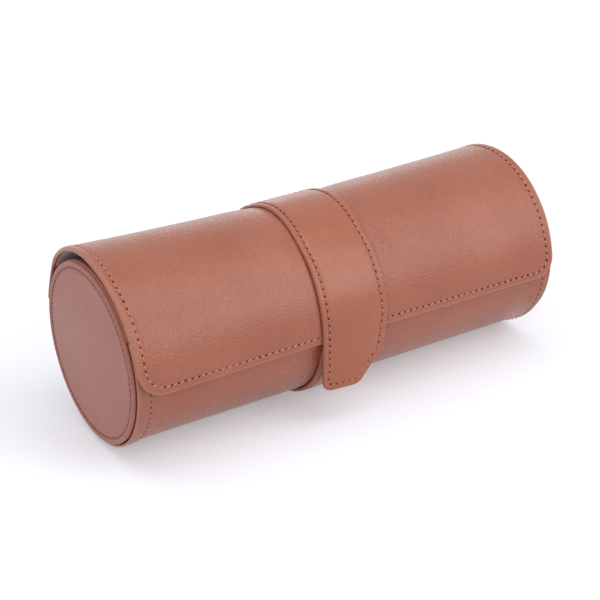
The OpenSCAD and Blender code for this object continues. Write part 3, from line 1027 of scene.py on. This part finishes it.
LINING_STITCH_IN = 2.2 * MM
lining_line = rounded([tuple(c) for c in inset(np.array(lining_corners), LINING_STITCH_IN)],
                      [1 * MM, 1 * MM, 7 * MM, 7 * MM])
for piece in sew("lining_seam", lining_line, wrap_lining_face, -0.12 * MM, STITCH_PITCH,
                 closed=True, yarn=lining_thread, hole=0.34 * MM, hole_shade_finish=suede_hole_shade):
    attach(piece, "flap")

# %% [markdown]
# ## The strap and its tongue
# The strap is two plies thick. It lies on the flap from behind the top to the front edge, and
# then hangs straight down as a tongue. The pattern is one long outline with a pointed, rounded
# end. Its wrap follows a path: an arc that keeps to the flap's radius, then a straight drop.

# %% The strap's path
STRAP_THICK = 1.7 * MM
LEAVE_DEG = 180.0


def path_round(first_deg, last_deg, radius, drop=0.0):
    """Lengths, places and outward directions along a strap seen from the end.
    radius is a formula of the angle; drop is a straight piece that hangs from the last point."""
    degs = np.arange(first_deg, last_deg + 0.25, 0.5)
    a = np.radians(degs)
    r = np.array([radius(d) for d in degs])
    y, z = r * np.cos(a), AXIS_Z + r * np.sin(a)
    if drop:
        extra = np.arange(1, 41) / 40 * drop
        y = np.concatenate([y, np.full(40, y[-1])])
        z = np.concatenate([z, z[-1] - extra])
    lengths = np.concatenate([[0], np.cumsum(np.hypot(np.diff(y), np.diff(z)))])
    dy, dz = np.gradient(y, lengths), np.gradient(z, lengths)
    size = np.hypot(dy, dz)
    return lengths, y, z, dz / size, -dy / size


def wrap_path(path, lean):
    """A wrap that sends v along a path. lean is a formula of v for a slow drift sideways."""
    lengths, y, z, ny, nz = path

    def wrap(u, v, h):
        n_y, n_z = np.interp(v, lengths, ny), np.interp(v, lengths, nz)
        beyond = v - np.clip(v, lengths[0], lengths[-1])
        return np.stack([u + lean(v), np.interp(v, lengths, y) + n_y * h - beyond * n_z,
                         np.interp(v, lengths, z) + n_z * h + beyond * n_y], 1)
    return wrap


strap_path = path_round(STRAP_JOIN_DEG, LEAVE_DEG,
                        lambda d: float(flap_radius(STRAP_MID, d)) + STRAP_THICK, TONGUE_LOW)
STRAP_LEAN = 1.8 * MM
wrap_strap = wrap_path(strap_path, lambda v: STRAP_LEAN * (1 - ease(v, 20 * MM, 68 * MM)))
STRAP_LEN = strap_path[0][-1]
LEAVE_AT = STRAP_LEN - TONGUE_LOW
print("strap %.0f mm long, tongue %.1f mm" % (STRAP_LEN / MM, TONGUE_LOW / MM))

# %% Cut and sew the strap
STRAP_STITCH_IN = 2.8 * MM
TONGUE_SLANT = 1.0 * MM
STRAP_SPREAD = 1.1 * MM
TIP_FROM_LEFT = 16 * MM
BELLY_DEPTH = 10.5 * MM
BELLY_IN = 2.2 * MM
strap_corners = [
    (STRAP_LEFT, 0), (STRAP_RIGHT, 0), (STRAP_RIGHT, LEAVE_AT - 6 * MM),
    (STRAP_RIGHT - BELLY_IN, LEAVE_AT + BELLY_DEPTH),
    (STRAP_LEFT + TIP_FROM_LEFT, STRAP_LEN),
    (STRAP_LEFT - STRAP_SPREAD, STRAP_LEN - TONGUE_SLANT),
    (STRAP_LEFT - STRAP_SPREAD, LEAVE_AT - 12 * MM)]
strap_radii = [0.9 * MM, 0.9 * MM, 30 * MM, 10 * MM, 4.5 * MM, 4.5 * MM, 200 * MM]
strap_groove = stitch_groove(STRAP_STITCH_IN, 0.25 * MM)


def strap_relief(u, v, distance):
    """A soft crown across the strap, with the stitch valley near its edges."""
    across = (u - STRAP_MID) / (STRAP_RIGHT - STRAP_MID)
    return 0.18 * MM * (1 - across ** 2) + strap_groove(distance)


strap = make_panel("strap_cover", rounded(strap_corners, strap_radii), wrap_strap, STRAP_THICK,
                   tan_strap, step=1.8 * MM, relief=strap_relief, fine=0.7 * MM, border=5 * MM)
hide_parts("strap_leather", "strap_backing", "tongue_leather", "tongue_backing")
strap_line = rounded([tuple(c) for c in inset(np.array(strap_corners), STRAP_STITCH_IN)],
                     [max(r - STRAP_STITCH_IN, 0.4 * MM) for r in strap_radii])
strap_sewn = sew("strap_seam", strap_line, wrap_strap, -0.12 * MM, STITCH_PITCH, closed=True,
                 yarn=quiet_thread, hole=0.43 * MM)
for piece in (strap, *strap_sewn):
    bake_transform(piece)

# %% [markdown]
# ## The lower strap
# A second length of strap starts under the tongue, hugs the underside, where the case rests on
# it, climbs the back and crosses the hinge to meet the upper one. It is the same wrap along
# another path. Where it would pass below the table it is pressed flat.

# %% Cut and sew the lower strap
LOWER_THICK = 1.65 * MM
LOWER_R = 39.75 * MM
LOWER_SHIFT = 1.5 * MM
LOWER_STITCH_IN = 2.2 * MM
JOIN_GAP = 0.5


def lower_radius(deg):
    """Radius of the lower strap's outer face, with angles that run on past 360."""
    on_flap = float(flap_radius(STRAP_MID, deg - 360)) + STRAP_THICK
    return LOWER_R + (on_flap - LOWER_R) * float(ease(deg, 358, 369))


lower_path = path_round(LOWER_FRONT_DEG, 360 + STRAP_JOIN_DEG - JOIN_GAP, lower_radius)
LOWER_LEAN = 2.0 * MM
lower_len = lower_path[0][-1]
follow_lower = wrap_path(lower_path, lambda v: LOWER_LEAN * ease(v, lower_len - 80 * MM, lower_len))
REST_Z = 0.03 * MM


def wrap_lower(u, v, h, rest=REST_Z):
    """Along the lower strap's path, pressed flat where it meets the table."""
    place = follow_lower(u, v, h)
    place[:, 2] = np.maximum(place[:, 2], rest - np.minimum(h, 0) * 0.6)
    return place


def wrap_lower_seam(u, v, h):
    """The same for its stitches, which the table presses into the leather."""
    return wrap_lower(u, v, h, 0.42 * MM)


lower_left, lower_right = LOWER_LEFT + LOWER_SHIFT, LOWER_RIGHT + LOWER_SHIFT
lower_corners = [(lower_left, 0), (lower_right, 0), (lower_right, lower_len),
                 (lower_left, lower_len)]
lower_radii = [3 * MM, 3 * MM, 0.9 * MM, 0.9 * MM]
lower_groove = stitch_groove(LOWER_STITCH_IN, 0.2 * MM)
lower_strap = make_panel("lower_strap_cover", rounded(lower_corners, lower_radii), wrap_lower,
                         LOWER_THICK, tan_strap, step=2.2 * MM, fine=0.7 * MM, border=5 * MM,
                         relief=lambda u, v, distance: lower_groove(distance))
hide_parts("lower_strap_leather", "lower_strap_backing")
lower_line = rounded([tuple(c) for c in inset(np.array(lower_corners), LOWER_STITCH_IN)],
                     [max(r - LOWER_STITCH_IN, 0.4 * MM) for r in lower_radii])
lower_sewn = sew("lower_seam", lower_line, wrap_lower_seam, -0.2 * MM, STITCH_PITCH, closed=True,
                 yarn=quiet_thread, hole=0.43 * MM)
for piece in (lower_strap, *lower_sewn):
    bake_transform(piece)

# %% [markdown]
# ## The tub
# The tub's leather is one panel from the front lip under the bottom to the back lip, with a
# sewn hem near each end. Two round beads of leather close its lips, where the leather is turned
# in over the board.

# %% Cover the tub
TUB_THICK = 1.15 * MM
HEM_LEFT = 6.0 * MM
HEM_RIGHT = 2.6 * MM
tub_low = at_degrees(FRONT_LIP_DEG, TUB_R)
tub_high = at_degrees(BACK_LIP_DEG + 360, TUB_R)
tub_corners = [(-END_X, tub_low), (END_X, tub_low), (END_X, tub_high), (-END_X, tub_high)]


def wrap_tub(u, v, h):
    """Round the tub at one radius."""
    angle = v / TUB_R
    r = TUB_R + hem_flare(u) + h
    return np.stack([u, r * np.cos(angle), AXIS_Z + r * np.sin(angle)], 1)


def tub_relief(u, v, distance):
    """The valleys that the stitches press along the two hems."""
    left = stitch_groove(HEM_LEFT)(u + END_X)
    right = stitch_groove(HEM_RIGHT)(END_X - u)
    return left + right


tub = make_panel("tub_cover", rounded(tub_corners, [1.5 * MM] * 4), wrap_tub, TUB_THICK, tan,
                 relief=tub_relief)
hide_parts("tub_leather")
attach(tub, "case")
for side, place in (("left", -END_X + HEM_LEFT), ("right", END_X - HEM_RIGHT)):
    hem = np.array([(place, v) for v in np.linspace(tub_low + 2 * MM, tub_high - 2 * MM, 120)])
    for piece in sew("hem_" + side, hem, wrap_tub, -0.2 * MM, STITCH_PITCH, yarn=quiet_thread,
                     hole=0.36 * MM):
        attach(piece, "case")

# %% Close the lips


def lip_bead(name, deg, into_opening):
    """A rounded leather bead along one lip. into_opening is +1 or -1, the way the lip faces."""
    inner = 34.0 * MM
    outer = TUB_R - 0.1 * MM
    mid, half_r, half_w = (inner + outer) / 2, (outer - inner) / 2, 0.9 * MM
    points = []
    around, along = 20, 48
    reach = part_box("tub_lining")[1].x
    for i in range(along + 1):
        x = -reach + 2 * reach * i / along
        for k in range(around):
            a = 2 * math.pi * k / around
            c, s = math.cos(a), math.sin(a)
            r = mid + half_r * squared_off(c, 0.55)
            shift = half_w * squared_off(s, 0.8) * into_opening
            angle = math.radians(deg) + (shift - 0.5 * MM * into_opening) / mid
            points.append((x, r * math.cos(angle), AXIS_Z + r * math.sin(angle)))
    faces = ring_faces(along + 1, around)
    faces.append(list(range(around)))
    faces.append([along * around + k for k in reversed(range(around))])
    piece = make_object(name, points, faces, tan)
    plain_edges(piece, 2.0)
    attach(piece, "case")
    return piece


lip_bead("front_lip", FRONT_LIP_DEG, -1)
lip_bead("back_lip", BACK_LIP_DEG, 1)
print("lips closed")

# %% [markdown]
# ## The ends
# Each end is a disc of leather over a board. Its rim is rolled, a narrow dark groove parts it
# from the tub, and a line of small stitches runs just inside the rim. A disc is a lathe job: a
# profile of a few points turned round the axis.

# %% Turn a profile round the axis


def turn_profile(name, profile, material, side=1, first_deg=0, last_deg=360, steps=144):
    """Sweeps (radius, x) points round the tub's axis. side mirrors it to the left end."""
    full = last_deg - first_deg >= 360
    count = steps if full else steps + 1
    points = []
    for i in range(count):
        a = math.radians(first_deg + (last_deg - first_deg) * i / steps)
        points += [(side * x, r * math.cos(a), AXIS_Z + r * math.sin(a)) for r, x in profile]
    size = len(profile)
    faces = ring_faces(count, size, closed=full)
    if not full:
        faces.append(list(range(size)))
        faces.append([steps * size + k for k in reversed(range(size))])
    return make_object(name, points, faces, material)


def arc_points(centre_r, centre_x, radius, first, last, steps=6):
    """Points of an arc in a profile, angles from outwards (0) to towards the end (90)."""
    return [(centre_r + radius * math.cos(math.radians(first + (last - first) * k / steps)),
             centre_x + radius * math.sin(math.radians(first + (last - first) * k / steps)))
            for k in range(steps + 1)]


# %% Make the end discs
RIM_ROLL = 1.05 * MM
NECK_R = 36.2 * MM
DISC_STITCH_R = 34.7 * MM
DISC_SET_IN = {"left": 1.1 * MM, "right": 0.0 * MM}
DISC_SLACK = {"left": 0.3 * MM, "right": -0.1 * MM}
DISC_PITCH = 2.3 * MM


def disc_profile(face_x, disc_r):
    """Half the section of an end disc: a faint crown, a stitch valley, a rolled rim, a neck."""
    profile = [(1e-7, face_x + 0.3 * MM)]
    for r in np.linspace(4 * MM, 31 * MM, 14):
        profile.append((r, face_x + 0.3 * MM * (1 - (r / (31 * MM)) ** 2)))
    for r in np.arange(32 * MM, disc_r - RIM_ROLL, 0.35 * MM):
        valley = 0.28 * MM * math.exp(-((r - DISC_STITCH_R) / (0.8 * MM)) ** 2)
        swell = 0.15 * MM * math.exp(-((r - 36.1 * MM) / (0.7 * MM)) ** 2)
        profile.append((r, face_x - valley + swell))
    profile += arc_points(disc_r - RIM_ROLL, face_x - RIM_ROLL + 0.12 * MM, RIM_ROLL, 80, -60)
    return profile + [(NECK_R, END_X - 0.6 * MM), (NECK_R - 1 * MM, END_X - 0.8 * MM),
                      (1e-7, END_X - 0.8 * MM)]


def wrap_disc(side, face_x):
    """A wrap whose v is the angle, for the stitches on a disc. u is the radius."""
    def wrap(u, v, h):
        a = v / DISC_STITCH_R
        return np.stack([side * (face_x + h), u * np.cos(a), AXIS_Z + u * np.sin(a)], 1)
    return wrap


for side, word in ((-1, "left"), (1, "right")):
    face_x = DISC_FACE_X - DISC_SET_IN[word]
    # Each disc's finish carries that painted reflection: the tan hide made paler and cooler.
    disc = turn_profile("end_disc_" + word, disc_profile(face_x, DISC_R - DISC_SLACK[word]),
                        disc_hide_and_reflection, side)
    plain_edges(disc)
    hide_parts("end_leather_" + word)
    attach(disc, "case")
    circle = np.array([(DISC_STITCH_R, a * DISC_STITCH_R)
                       for a in np.linspace(0, 2 * math.pi, 200)])
    for piece in sew("disc_seam_" + word, circle, wrap_disc(side, face_x), -0.22 * MM,
                     DISC_PITCH, slant=-12, yarn=disc_thread, hole=0.36 * MM):
        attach(piece, "case")

# %% Bind the open part of each end
BIND_IN_R = 36.6 * MM
BIND_OUT_R = 37.7 * MM
bind_lo, bind_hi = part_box("end_binding_right")
bind_mid = (BIND_IN_R + BIND_OUT_R) / 2
bind_half = (BIND_OUT_R - BIND_IN_R) / 2
bind_profile = (arc_points(bind_mid, bind_hi.x - 0.45 * MM, bind_half, 0, 180)
                + arc_points(bind_mid, bind_lo.x + 0.45 * MM, bind_half, 180, 360))
for side, word in ((-1, "left"), (1, "right")):
    # The bindings share the discs' finish, painted paler and cooler as a reflection of the floor.
    binding = turn_profile("end_rim_" + word, bind_profile, disc_hide_and_reflection, side,
                           BACK_LIP_DEG, FRONT_LIP_DEG, 60)
    plain_edges(binding)
    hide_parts("end_binding_" + word)
    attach(binding, "case")
print("ends bound")

# %% [markdown]
# ## Dividers
# Two stiff dividers part the tub into three bays. Each is a round panel with a straight top and
# soft corners, covered in suede on both sides, so it is cut and wrapped like the leather, but on
# a flat form.

# %% Cover the dividers
DIVIDER_STITCH_IN = 3.0 * MM


def wrap_flat(face_x, way=1):
    """A wrap on to a flat face across the tub, with heights counted along way, +1 or -1."""
    def wrap(u, v, h):
        return np.stack([np.full(len(u), face_x) + way * h, u, AXIS_Z + v], 1)
    return wrap


for word in ("left", "right"):
    low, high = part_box("divider_cover_" + word)
    divider_r = high.y
    top = high.z - AXIS_Z
    chord_deg = math.degrees(math.asin(top / divider_r))
    rim_points = [(divider_r * math.cos(math.radians(a)), divider_r * math.sin(math.radians(a)))
                  for a in np.linspace(180 - chord_deg, 360 + chord_deg, 64)]
    outline = np.array(rim_points[1:-1])
    across = high.x - low.x
    divider = make_panel("divider_" + word, outline, wrap_flat(high.x), across, suede,
                         step=6 * MM, fine=1.5 * MM, border=4 * MM)
    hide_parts("divider_cover_" + word, "divider_core_" + word)
    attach(divider, "case")

    reach = divider_r * math.cos(math.radians(chord_deg)) - 3 * MM
    row = np.array([(y, top - DIVIDER_STITCH_IN) for y in np.linspace(-reach, reach, 40)])
    for face, face_x, way in (("a", low.x, -1), ("b", high.x, 1)):
        for piece in sew("divider_seam_%s_%s" % (word, face), row, wrap_flat(face_x, way),
                         -0.12 * MM, STITCH_PITCH, yarn=lining_thread, hole=0.28 * MM,
                         hole_shade_finish=suede_hole_shade):
            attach(piece, "case")

# %% [markdown]
# ## Watch pillows
# Each bay holds an oval pillow that a watch is buckled round. It is a foam block in a suede
# cover. The cover starts as a plain oval block that is a little too small. A short cloth
# simulation blows it up while the seams round its two ends are held, which gives the full
# middle and the small puckers at the seams that a pressed block never has.

# %% Shape one pillow
low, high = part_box("pillow_cover_middle")
PILLOW_SIZE = high - low
PILLOW_FIT = 0.955
PUFF_LIMIT = 2.2 * MM
PUFF_FRAMES = 18
PILLOW_AROUND = 64
PILLOW_ALONG = 26
PILLOW_SQUARE = 0.9
PILLOW_SEAM_IN = 1.2 * MM
PILLOW_SEAM_SIZE = 0.92


def pillow_start():
    """An oval block with rounded ends, its seam rings marked in a vertex group."""
    half_x = PILLOW_SIZE.x / 2 * PILLOW_FIT
    half_y = PILLOW_SIZE.y / 2 * PILLOW_FIT
    half_z = PILLOW_SIZE.z / 2 * PILLOW_FIT
    stations = [(-half_x + 0.4 * MM, s) for s in (0.0, 0.3, 0.6, 0.82)]
    stations += [(-half_x + PILLOW_SEAM_IN, PILLOW_SEAM_SIZE)]
    stations += [(x, 1.0 - 0.06 * abs(x / half_x) ** 6)
                 for x in np.linspace(-half_x + 3.5 * MM, half_x - 3.5 * MM, PILLOW_ALONG)]
    stations += [(half_x - PILLOW_SEAM_IN, PILLOW_SEAM_SIZE)]
    stations += [(half_x - 0.4 * MM, s) for s in (0.82, 0.6, 0.3, 0.0)]
    points = []
    for x, size in stations:
        for k in range(PILLOW_AROUND):
            a = 2 * math.pi * k / PILLOW_AROUND
            c, s = math.cos(a), math.sin(a)
            points.append((x, half_y * size * squared_off(c, PILLOW_SQUARE),
                           half_z * size * squared_off(s, PILLOW_SQUARE)))
    faces = ring_faces(len(stations), PILLOW_AROUND)
    piece = make_object("pillow_form", points, faces, pillow_suede)
    seam_x = half_x - PILLOW_SEAM_IN
    held = piece.vertex_groups.new(name="seam")
    held.add([v.index for v in piece.data.vertices if abs(abs(v.co.x) - seam_x) < 0.3 * MM],
             1.0, "REPLACE")
    return piece


def puff_up(piece):
    """Runs the cloth simulation on a pillow, and caps how far each point may move."""
    before = np.array([v.co for v in piece.data.vertices])
    cloth = piece.modifiers.new("puff", "CLOTH")
    settings = cloth.settings
    settings.quality = 6
    settings.mass = 0.2
    settings.tension_stiffness = 18
    settings.compression_stiffness = 6
    settings.bending_stiffness = 0.6
    settings.use_pressure = True
    settings.uniform_pressure_force = 4
    settings.vertex_group_mass = "seam"
    settings.effector_weights.gravity = 0
    settings.shrink_min = -0.02
    cloth.collision_settings.use_collision = False
    scene = bpy.context.scene
    for frame_number in range(1, PUFF_FRAMES + 1):
        scene.frame_set(frame_number)
    graph = bpy.context.evaluated_depsgraph_get()
    done = piece.evaluated_get(graph).to_mesh()
    after = np.array([v.co for v in done.vertices])
    piece.evaluated_get(graph).to_mesh_clear()
    piece.modifiers.remove(cloth)
    scene.frame_set(1)
    move = after - before
    far = np.linalg.norm(move, axis=1)
    scale = np.minimum(1, PUFF_LIMIT / np.maximum(far, 1e-9))
    for v, p in zip(piece.data.vertices, before + move * scale[:, None]):
        v.co = p
    return float(far.max())


form = pillow_start()
print("the pillow's cover moved up to %.1f mm" % (puff_up(form) / MM))
smooth = form.modifiers.new("smooth", "SUBSURF")
smooth.levels = smooth.render_levels = 1
pillow_mesh = bpy.data.meshes.new_from_object(
    form.evaluated_get(bpy.context.evaluated_depsgraph_get()))
bpy.data.objects.remove(form)
print("pillow cover:", len(pillow_mesh.vertices), "points")

# %% [markdown]
# ## The pillow's seams
# Where an end panel meets the middle, the cloth is turned in and leaves a thin round ridge. The
# simulated mesh is too coarse to hold it, so each ridge is a thin closed tube laid on the ring
# that the simulation held still.

# %% Roll the pillow's two seams
SEAM_CORD_R = 0.38 * MM


def seam_cords():
    """Two thin rolled seams where the pillow's end panels meet its middle."""
    points, faces = [], []
    around = 8
    half = PILLOW_SIZE / 2 * PILLOW_FIT
    for x in (-half.x + PILLOW_SEAM_IN, half.x - PILLOW_SEAM_IN):
        faces += ring_faces(PILLOW_AROUND, around, closed=True, first=len(points))
        for k in range(PILLOW_AROUND):
            a = 2 * math.pi * k / PILLOW_AROUND
            c, s = math.cos(a), math.sin(a)
            y = half.y * PILLOW_SEAM_SIZE * squared_off(c, PILLOW_SQUARE)
            z = half.z * PILLOW_SEAM_SIZE * squared_off(s, PILLOW_SQUARE)
            out = Vector((0, y, z)).normalized()
            for j in range(around):
                b = 2 * math.pi * j / around
                place = (Vector((x, y, z)) + out * SEAM_CORD_R * math.cos(b)
                         + Vector((SEAM_CORD_R * math.sin(b), 0, 0)))
                points.append(place)
    cords = make_object("pillow_seam_form", points, faces, suede)
    mesh = cords.data
    bpy.data.objects.remove(cords)
    return mesh


cord_mesh = seam_cords()
print("seam cords:", len(cord_mesh.vertices), "points")

# %% Set three pillows in the bays
for word in ("left", "middle", "right"):
    low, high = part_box("pillow_cover_" + word)
    pillow = bpy.data.objects.new("pillow_" + word, pillow_mesh.copy())
    bpy.context.scene.collection.objects.link(pillow)
    pillow.location = (low + high) / 2
    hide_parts("pillow_cover_" + word, "pillow_foam_" + word)
    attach(pillow, "case")
    cord = bpy.data.objects.new("pillow_seam_" + word, cord_mesh.copy())
    bpy.context.scene.collection.objects.link(cord)
    cord.location = (low + high) / 2
    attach(cord, "case")
print("three pillows set")

# %% [markdown]
# ## What stays from the working model
# Pieces whose working shape is already right keep it and only get a finish: the tub's board and
# lining, the boards and linings of the ends, and the magnet. The keeper is a small turned steel
# button, so it is made again with a rounded edge.

# %% Finish the pieces that stay
NODE_FINISH = {
    "tub_board": fibre_board, "tub_lining": suede,
    "end_board_left": fibre_board, "end_board_right": fibre_board,
    "end_lining_left": suede, "end_lining_right": suede,
    "tongue_magnet": nickel}
for name, finish in NODE_FINISH.items():
    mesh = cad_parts[name].data
    mesh.materials.clear()
    mesh.materials.append(finish)
print("finished", len(NODE_FINISH), "working pieces")

# %% Turn the keeper
keeper_low, keeper_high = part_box("keeper")
KEEPER_R = (keeper_high.x - keeper_low.x) / 2
KEEPER_SHRINK = 0.75 * MM
KEEPER_EDGE = 0.4 * MM
keeper_face = -keeper_low.y - KEEPER_SHRINK
keeper_x = (keeper_low.x + keeper_high.x) / 2
keeper_z = (keeper_low.z + keeper_high.z) / 2
keeper_profile = [(1e-7, keeper_face - 0.15 * MM), (1.6 * MM, keeper_face - 0.15 * MM),
                  (2.0 * MM, keeper_face), (KEEPER_R - KEEPER_EDGE, keeper_face),
                  (KEEPER_R - KEEPER_EDGE * 0.3, keeper_face - KEEPER_EDGE * 0.3),
                  (KEEPER_R, keeper_face - KEEPER_EDGE), (KEEPER_R, 37.2 * MM),
                  (1e-7, 37.2 * MM)]
points, faces = [], []
TURNS = 48
for i in range(TURNS):
    a = 2 * math.pi * i / TURNS
    points += [(keeper_x + r * math.cos(a), -y, keeper_z + r * math.sin(a))
               for r, y in keeper_profile]
size = len(keeper_profile)
for i in range(TURNS):
    j = (i + 1) % TURNS
    faces += [[i * size + k, i * size + k + 1, j * size + k + 1, j * size + k]
              for k in range(size - 1)]
keeper = make_object("keeper_button", points, faces, nickel, smooth=False)
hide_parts("keeper")
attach(keeper, "case")
print("keeper turned, radius %.1f mm" % (KEEPER_R / MM))
